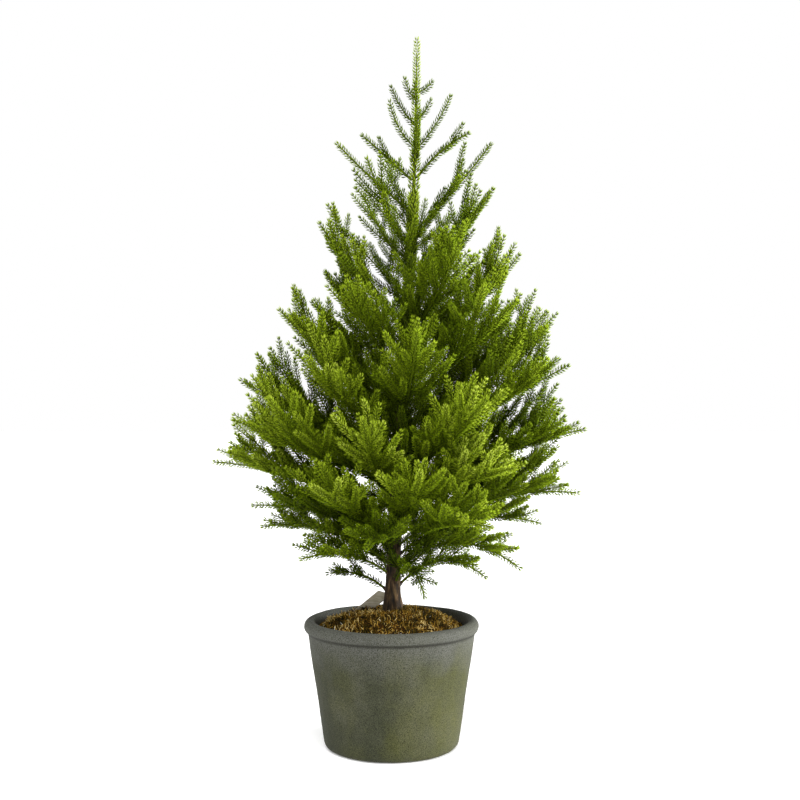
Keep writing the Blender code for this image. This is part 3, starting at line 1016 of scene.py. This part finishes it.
def makeClayFinish():
    finish, graph, shader = newFinish("mossy fibre clay", roughness=0.88, specular=0.25)
    spot = objectSpot(graph)

    def ramp(source, name):
        return addRamp(graph, source, clay[name])

    cloud = addNoise(graph, spot, (1, 1, 0.75), Scale=15.0, Detail=5.0, Roughness=0.55)
    green = addNoise(graph, spot, (1, 1, 0.6), Scale=9.0, Detail=4.0, Roughness=0.6)
    stain = plainColour(graph, clay["moss"])
    colour = addMix(graph, "MIX", ramp(green, "bloom"), ramp(cloud, "cloud"), stain)
    # the rim and the band under it stay grey
    lift = addMath(graph, "MULTIPLY", splitAxes(graph, spot)["Z"], 1 / planter["height"])
    small = addNoise(graph, spot, Scale=34.0, Detail=3.0)
    wander = addMath(graph, "MULTIPLY_ADD", small, *clay["bandWander"])
    band = ramp(addMath(graph, "ADD", lift, wander), "band")
    colour = addMix(graph, "MIX", band, colour, plainColour(graph, clay["rim"]))
    # a painted shadow line in the crease under the rolled rim, then dark grain, pale sand and small pits
    colour = addMix(graph, "MULTIPLY", 1.0, colour, ramp(lift, "creaseShadow"))
    grain = addPattern(graph, "ShaderNodeTexNoise", spot, Scale=950.0, Detail=2.0, Roughness=0.7)
    colour = addMix(graph, "MULTIPLY", 1.0, colour, ramp(grain.outputs["Fac"], "speck"))
    dust = addNoise(graph, spot, Scale=900.0, Detail=1.0)
    colour = addMix(graph, "MIX", ramp(dust, "fleck"), colour, plainColour(graph, clay["sand"]))
    pits = addPattern(graph, "ShaderNodeTexVoronoi", spot, Scale=150.0, Randomness=1.0)
    pit = ramp(pits.outputs["Distance"], "pit")
    paint(graph, addMix(graph, "MULTIPLY", 0.8, colour, pit), shader)
    graph.links.new(ramp(cloud, "rough"), shader.inputs["Roughness"])
    height = addMix(graph, "MULTIPLY", 1.0, pit, grain.outputs["Color"])
    addBump(graph, shader, height, strength=0.5, distance=0.0008)
    return finish


finishPiece(shapePlanter(), "turnedPlanter", makeClayFinish(), "stand", "fibre_clay", "planter")
print("planter")


# ---- moss: a lumpy mound and the dry curled strands on it
moss = {
    "sides": 120,
    "edge": 0.0963,
    "atWall": 0.1505,
    "atTrunk": 0.1750,
    "inner": 0.0128,
    "under": 0.1403,
    "rows": 40,
    "strands": 8200,
    "foot": (0.004, 0.0),
    "lip": (0.0008, 0.002),
    "rowRise": 0.02,
    "levelFrom": 0.001,
    "lumps": ((45, 3, 0.0042), (120, 8, 0.0022)),
    "lumpGrowth": (6, 0.25),
    "strandLength": 0.0056,
    "strandThick": 0.00125,
    "strandCurl": (2.2, 0.32),
    "strandTwist": (1.9, 0.10),
    "strandSizes": (0.45, 1.25),
    "strandTilt": (8, 62),
    "strandSink": 0.0012,
    "outermost": 0.985,
    "wallBand": 0.008,
    "wallTurn": 1.1,
    "patches": (30, 0.8),
    "tone": (0.46, 0.30, 0.93),
    "paleShare": 0.006,
    "paleTone": 0.965,
}
mound = {
    "fine": ((0.41, (9, 5, 0)), (0.53, (52, 36, 4)), (0.64, (136, 102, 36))),
    "broad": ((0.40, (170, 190, 120)), (0.60, (255, 226, 170))),
}
strand = {
    "stripWidth": 0.02,
    "tones": (
        (0.00, (26, 26, 0)),
        (0.25, (62, 56, 6)),
        (0.45, (98, 70, 10)),
        (0.65, (156, 116, 30)),
        (0.85, (212, 176, 90)),
        (0.95, (232, 206, 136)),
        (0.965, (236, 232, 214)),
    ),
    "rise": ((0.0, (120, 120, 120)), (0.6, (255, 255, 255))),
}


def mossHeight(x, y):
    # low at the wall, rising to the trunk, in soft lumps
    share = (moss["edge"] - math.hypot(x, y)) / (moss["edge"] - moss["inner"])
    share = min(max(share, 0.0), 1.0)
    rise = math.sin(share * math.pi / 2)
    lump = sum(noise.noise(Vector((x * wave, y * wave, z))) * high for wave, z, high in moss["lumps"])
    growth, least = moss["lumpGrowth"]
    return between(moss["atWall"], moss["atTrunk"], rise) + lump * min(1.0, share * growth + least)


def shapeMound():
    outer, inner, rows = moss["edge"], moss["inner"], moss["rows"]
    edges = (moss["foot"], moss["lip"])
    rings = [(outer - narrower, moss["under"] + high, 0.0, 0.0) for narrower, high in edges]
    for step in range(rows):
        share = step / (rows - 1)
        rings.append((between(outer, inner, share), moss["atWall"] + moss["rowRise"] * share, 0.0, 0.0))
    piece = startRing(moss["sides"], rings[0])
    raiseRings(rings)
    closeRings(80)
    for vertex in piece.data.vertices:
        if vertex.co.z > moss["atWall"] - moss["levelFrom"]:
            vertex.co.z = mossHeight(vertex.co.x, vertex.co.y)
    piece.data.update()
    return piece


def makeMoundFinish():
    finish, graph, shader = newFinish("dried moss bed", roughness=1.0, specular=0.1)
    spot = objectSpot(graph)
    tuft = addNoise(graph, spot, Scale=420.0, Detail=6.0, Roughness=0.75)
    fine = addRamp(graph, tuft, mound["fine"])
    broad = addRamp(graph, addNoise(graph, spot, Scale=45.0, Detail=3.0), mound["broad"])
    paint(graph, addMix(graph, "MULTIPLY", 1.0, fine, broad), shader)
    addBump(graph, shader, tuft, strength=0.9, distance=0.0015)
    return finish


def shapeStrand():
    # one curled strand: a thin three-sided pencil, bent in a loose hook
    clearSelection()
    long, thick = moss["strandLength"], moss["strandThick"]
    (curl, hook), (twist, aside) = moss["strandCurl"], moss["strandTwist"]
    bpy.ops.mesh.primitive_cone_add(
        vertices=3, radius1=thick / 2, radius2=thick / 5, depth=long, location=(0, 0, long / 2)
    )
    piece = bpy.context.object
    bpy.ops.object.transform_apply(location=True)
    setMode("EDIT")
    for step in (1, 2):
        selectWhole()
        bpy.ops.mesh.bisect(plane_co=(0, 0, long * step / 3), plane_no=(0, 0, 1))
    setMode("OBJECT")
    for vertex in piece.data.vertices:
        turn = vertex.co.z / long * curl
        vertex.co.x += long * hook * (1 - math.cos(turn))
        vertex.co.y += long * aside * math.sin(turn * twist)
    return piece


def growStrands():
    places, faces = readShape(shapeStrand())
    draw = np.random.default_rng(5)
    count = moss["strands"]
    innermost = (moss["inner"] / moss["edge"]) ** 2
    radius = np.sqrt(draw.uniform(innermost, moss["outermost"], count)) * moss["edge"]
    bearing = draw.uniform(0, math.tau, count)
    x, y = radius * np.cos(bearing), radius * np.sin(bearing)
    z = np.array([mossHeight(*spot) for spot in zip(x, y)]) - moss["strandSink"]
    heading = draw.uniform(0, math.tau, count)
    tilt = np.radians(draw.uniform(*moss["strandTilt"], count))
    along = np.stack([np.cos(heading) * np.cos(tilt), np.sin(heading) * np.cos(tilt), np.sin(tilt)], 1)
    # the strands at the wall turn inwards
    wall = radius > moss["edge"] - moss["wallBand"]
    along[wall, :2] -= (np.stack([x, y], 1) / radius[:, None])[wall] * moss["wallTurn"]
    along /= np.linalg.norm(along, axis=1)[:, None]
    first = np.cross(along, up)
    first /= np.linalg.norm(first, axis=1)[:, None]
    spin = draw.uniform(0, math.tau, count)[:, None]
    second = np.cross(along, first)
    across, beside = turned(first, second, spin), turned(second, -first, spin)
    local = places[None] * draw.uniform(*moss["strandSizes"], count)[:, None, None]
    roots = np.stack([x, y, z], 1)
    made = laidAlong(roots[:, None], local, across[:, None], beside[:, None], along[:, None])
    (wave, depth), (middle, spread, top) = moss["patches"], moss["tone"]
    patchy = np.array([noise.noise(Vector((a * wave, b * wave, 1))) for a, b in zip(x, y)])
    tone = np.clip(middle + patchy * depth + draw.normal(0, spread, count), 0.0, top)
    tone[draw.uniform(0, 1, count) < moss["paleShare"]] = moss["paleTone"]
    copied = copies(faces, markShape(places, faces, strand["stripWidth"]), len(places), tone)
    return meshFrom("mossStrands", made.reshape(-1, 3), *copied)


def makeStrandFinish():
    finish, graph, shader = newFinish("dried moss strands", roughness=0.95, specular=0.15)
    strip = stripPlace(graph)
    tones = addRamp(graph, strip["X"], strand["tones"])
    rise = addRamp(graph, strip["Y"], strand["rise"])
    paint(graph, addMix(graph, "MULTIPLY", 1.0, tones, rise), shader)
    return finish


finishPiece(shapeMound(), "mossMound", makeMoundFinish(), "stand", "dried_moss", "moss_mat")
finishPiece(growStrands(), "mossStrands", makeStrandFinish(), "stand", "dried_moss")
print("moss")


# ---- trunk: bark drawn up along the trunk's own line
bark = {
    "sides": 56,
    "rows": 210,
    "ridges": 0.0009,
    "flakes": 0.0006,
    "ridgeWave": (3.2, 28),
    "flakeWave": (8, 150),
    "knob": 0.0042,
    "knobPlace": (0.181, 0.010),
    "knobTurn": 0.5,
    "fine": ((0.36, (18, 13, 6)), (0.52, (58, 46, 30)), (0.68, (112, 94, 66))),
    "broad": ((0.38, (180, 178, 150)), (0.62, (255, 240, 226))),
    "green": ((0.36, (36, 46, 2)), (0.66, (100, 118, 22))),
    "greenRise": ((0.34, (0, 0, 0)), (0.48, (235, 235, 235))),
}


def barkShift(place):
    # the moulded bark's ridges and flakes, and a knob low on the trunk
    x, y, _ = trunkAxis(place.z)
    turn = math.atan2(place.y - y, place.x - x)
    rim = Vector((math.cos(turn), math.sin(turn), 0))

    def wave(across, along):
        return noise.noise(rim * across + Vector((0, 0, place.z * along)))

    ridge = wave(*bark["ridgeWave"]) * bark["ridges"]
    flake = abs(wave(*bark["flakeWave"])) * bark["flakes"]
    thin = trunkRadius(place.z) / tree["trunkRadius"]
    middle, width = bark["knobPlace"]
    low = math.exp(-(((place.z - middle) / width) ** 2))
    return (ridge + flake) * thin + max(0.0, math.cos(turn + bark["knobTurn"])) ** 3 * low * bark["knob"]


def shapeTrunk():
    rings = []
    for step in range(bark["rows"] + 1):
        height = tree["trunkFoot"] + (trunkTop - tree["trunkFoot"]) * step / bark["rows"]
        x, y, _ = trunkAxis(height)
        rings.append((trunkRadius(height), height, x, y))
    piece = startRing(bark["sides"], rings[0])
    raiseRings(rings)
    closeRings(70)
    shiftPoints(piece, barkShift)
    return piece


def makeBarkFinish():
    finish, graph, shader = newFinish("moulded bark", roughness=0.85, specular=0.3)
    spot = objectSpot(graph)
    streak = addNoise(graph, spot, (1, 1, 0.22), Scale=260.0, Detail=6.0, Roughness=0.65)
    fine = addRamp(graph, streak, bark["fine"])
    broad = addRamp(graph, addNoise(graph, spot, (1, 1, 0.5), Scale=60.0, Detail=3.0), bark["broad"])
    brown = addMix(graph, "MULTIPLY", 1.0, fine, broad)
    # further up the moulded stem turns green under its needles
    rise = addRamp(graph, splitAxes(graph, spot)["Z"], bark["greenRise"])
    paint(graph, addMix(graph, "MIX", rise, brown, addRamp(graph, streak, bark["green"])), shader)
    addBump(graph, shader, streak, strength=0.7, distance=0.0012)
    return finish


barkFinish = makeBarkFinish()
finishPiece(shapeTrunk(), "barkTrunk", barkFinish, "stand", "moulded_bark", "trunk")
print("trunk")


# ---- collars: a small knot of bark where each branch grows out
collar = {
    "sides": 9, "length": 0.0052, "base": 1.75, "neck": 1.15, "waist": 0.86, "bevel": 0.18, "sunk": 0.36,
}


def shapeCollar():
    clearSelection()
    radius, long = tree["stemRadius"], collar["length"]
    bpy.ops.mesh.primitive_cone_add(
        vertices=collar["sides"],
        radius1=radius * collar["base"],
        radius2=radius * collar["neck"],
        depth=long,
        location=(0, 0, 0),
    )
    piece = bpy.context.object
    setMode("EDIT")
    selectWhole()
    bpy.ops.mesh.bisect(plane_co=(0, 0, 0), plane_no=(0, 0, 1))
    bpy.ops.transform.resize(value=(collar["waist"], collar["waist"], 1.0))
    selectWhole()
    bpy.ops.mesh.bevel(offset=radius * collar["bevel"], segments=1, affect="EDGES")
    setMode("OBJECT")
    return piece


def growCollars():
    pieces = []
    for row in branchRows:
        if crownHeight(row[0]) > trunkTop:
            continue
        place, ahead = alongBow(branchBow(row, carrierRadius(crownHeight(row[0]))), 0.0)
        piece = shapeCollar()
        piece.rotation_euler = Vector(ahead).to_track_quat("Z", "Y").to_euler()
        piece.location = Vector(place) - Vector(ahead) * collar["length"] * collar["sunk"]
        pieces.append(piece)
    pick(*pieces)
    bpy.ops.object.join()
    finishPiece(bpy.context.object, "branchCollars", barkFinish, "stand", "moulded_bark")


growCollars()
print("collars")


# ---- brace strip: a pale flat strip, softened at its edges and a little bowed
brace = {
    "width": 0.015,
    "thick": 0.0022,
    "high": 0.196,
    "reach": 0.068,
    "bearing": 150.0,
    "foamTop": 0.140,
    "gap": 0.0006,
    "softEdge": 0.0006,
    "sag": 0.0008,
    "tones": ((0.35, (146, 138, 118)), (0.60, (176, 168, 148)), (0.75, (190, 183, 166))),
}


def shapeBrace():
    outward = outwardAt(math.radians(brace["bearing"]))
    slope = math.atan2(brace["high"] - brace["foamTop"], brace["reach"])
    tall = brace["width"] / 2 / math.cos(slope)
    top = trunkAxis(brace["high"]) + outward * (trunkRadius(brace["high"] - tall) + brace["gap"])
    foot = outward * brace["reach"]
    foot[2] = brace["foamTop"] + brace["gap"] + tall
    long = np.linalg.norm(top - foot)
    clearSelection()
    bpy.ops.mesh.primitive_cube_add(size=1.0)
    piece = bpy.context.object
    piece.scale = (long, brace["thick"], brace["width"])
    bpy.ops.object.transform_apply(scale=True)
    setMode("EDIT")
    selectWhole()
    bpy.ops.mesh.subdivide(number_cuts=5)
    setMode("OBJECT")
    soften = piece.modifiers.new("soft edges", "BEVEL")
    soften.width = brace["softEdge"]
    soften.segments = 2
    soften.angle_limit = math.radians(40)
    bpy.ops.object.modifier_apply(modifier=soften.name)
    direction = unit(foot - top)
    aside = unit(np.cross(up, direction))
    upright = np.cross(direction, aside)
    middle = (top + foot) / 2
    for vertex in piece.data.vertices:
        x, y, z = vertex.co
        # the ends are cut upright, and the middle sags a little sideways
        lean = z * math.tan(slope)
        bow = brace["sag"] * math.cos(math.pi * x / long)
        vertex.co = Vector(middle + direction * (x + lean) + aside * (y + bow) + upright * z)
    pick(piece)
    bpy.ops.object.shade_smooth_by_angle(angle=math.radians(35))
    return piece


def makeBraceFinish():
    finish, graph, shader = newFinish("pale strip", roughness=0.7, specular=0.3)
    spot = objectSpot(graph)
    grain = addNoise(graph, spot, (0.4, 0.4, 2.4), Scale=180.0, Detail=5.0)
    paint(graph, addRamp(graph, grain, brace["tones"]), shader)
    addBump(graph, shader, grain, strength=0.3, distance=0.0004)
    return finish


finishPiece(shapeBrace(), "braceStrip", makeBraceFinish(), "stand", "brace_strip", "brace_strip")


# ---- what is hidden in the planter: its cement, its foam and the steel rod
hidden = {
    "cement_ballast": ("rough cement", 0.95, 70.0, (118, 116, 110), (168, 165, 158), 0.0008),
    "foam_block": ("dry foam", 1.0, 900.0, (176, 172, 152), (216, 212, 196), 0.0003),
    "core_rod": ("plain steel", 0.38, 300.0, (128, 128, 130), (168, 168, 172), 0.0001),
}


def makeHiddenFinish(name, roughness, scale, dark, light, depth):
    finish, graph, shader = newFinish(name, roughness)
    spot = objectSpot(graph)
    grain = addNoise(graph, spot, Scale=scale, Detail=6.0, Roughness=0.7)
    paint(graph, addRamp(graph, grain, ((0.35, dark), (0.65, light))), shader)
    addBump(graph, shader, grain, strength=0.5, distance=depth)
    return finish, shader


for nodeName, values in hidden.items():
    hiddenFinish, hiddenShader = makeHiddenFinish(*values)
    if nodeName == "core_rod":
        hiddenShader.inputs["Metallic"].default_value = 1.0
    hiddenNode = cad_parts[nodeName]
    hiddenNode.data.materials.clear()
    hiddenNode.data.materials.append(hiddenFinish)
print("brace and hidden pieces")


# ---- floor, light and camera
studio = {
    "floorGlow": 0.22,
    "floorSize": 30.0,
    "floorDrop": 0.0002,
    "floorTones": ((0.3, (250, 250, 250)), (0.7, (254, 254, 254))),
    "skyStrength": 0.60,
    "suns": (
        ("sideSun", (-0.98, 0.03, -0.11), 8.0, 40.0),
        ("frontSun", (0.08, 0.50, -0.85), 2.6, 50.0),
    ),
    "cameraPlace": (0.011, -1.55, 0.447),
    "lens": 53.7,
}


def makeFloor():
    clearSelection()
    bpy.ops.mesh.primitive_plane_add(size=studio["floorSize"], location=(0, 0, -studio["floorDrop"]))
    floor = bpy.context.object
    floor.name = "paleFloor"
    finish, graph, shader = newFinish("pale floor", roughness=0.9, specular=0.1)
    spot = objectSpot(graph)
    cloud = addNoise(graph, spot, Scale=3.0, Detail=2.0)
    paint(graph, addRamp(graph, cloud, studio["floorTones"]), shader)
    shader.inputs["Emission Color"].default_value = (1, 1, 1, 1)
    shader.inputs["Emission Strength"].default_value = studio["floorGlow"]
    floor.data.materials.append(finish)
    floor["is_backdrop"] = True


def makeSun(name, direction, power, softness):
    light = bpy.data.lights.new(name, "SUN")
    light.energy = power
    light.angle = math.radians(softness)
    lamp = bpy.data.objects.new(name, light)
    lamp.rotation_euler = Vector(direction).to_track_quat("-Z", "Y").to_euler()
    bpy.context.collection.objects.link(lamp)


def makeWorld():
    # the lens sees a white backdrop, and a softer sky lights the tree
    world = bpy.data.worlds.new("white studio")
    world.use_nodes = True
    graph = world.node_tree
    sky = graph.nodes["Background"]
    sky.inputs["Color"].default_value = (1, 1, 1, 1)
    sky.inputs["Strength"].default_value = studio["skyStrength"]
    backdrop = addNode(graph, "ShaderNodeBackground", Color=(1, 1, 1, 1), Strength=1.0)
    seen = addNode(graph, "ShaderNodeLightPath")
    mix = addNode(graph, "ShaderNodeMixShader")
    graph.links.new(seen.outputs["Is Camera Ray"], mix.inputs["Fac"])
    graph.links.new(sky.outputs["Background"], mix.inputs[1])
    graph.links.new(backdrop.outputs["Background"], mix.inputs[2])
    graph.links.new(mix.outputs["Shader"], graph.nodes["World Output"].inputs["Surface"])
    bpy.context.scene.world = world


def makeStudio():
    makeWorld()
    makeFloor()
    for sun in studio["suns"]:
        makeSun(*sun)
    lens = bpy.data.cameras.new("camera")
    lens.lens = studio["lens"]
    camera = bpy.data.objects.new("camera", lens)
    camera.location = studio["cameraPlace"]
    camera.rotation_euler = (math.pi / 2, 0, 0)
    bpy.context.collection.objects.link(camera)
    bpy.context.scene.camera = camera
    bpy.context.scene.view_settings.view_transform = "Standard"


makeStudio()
print("studio")

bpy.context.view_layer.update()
triangles = sum(len(face.vertices) - 2 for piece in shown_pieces() for face in piece.data.polygons)
print("triangles", triangles)
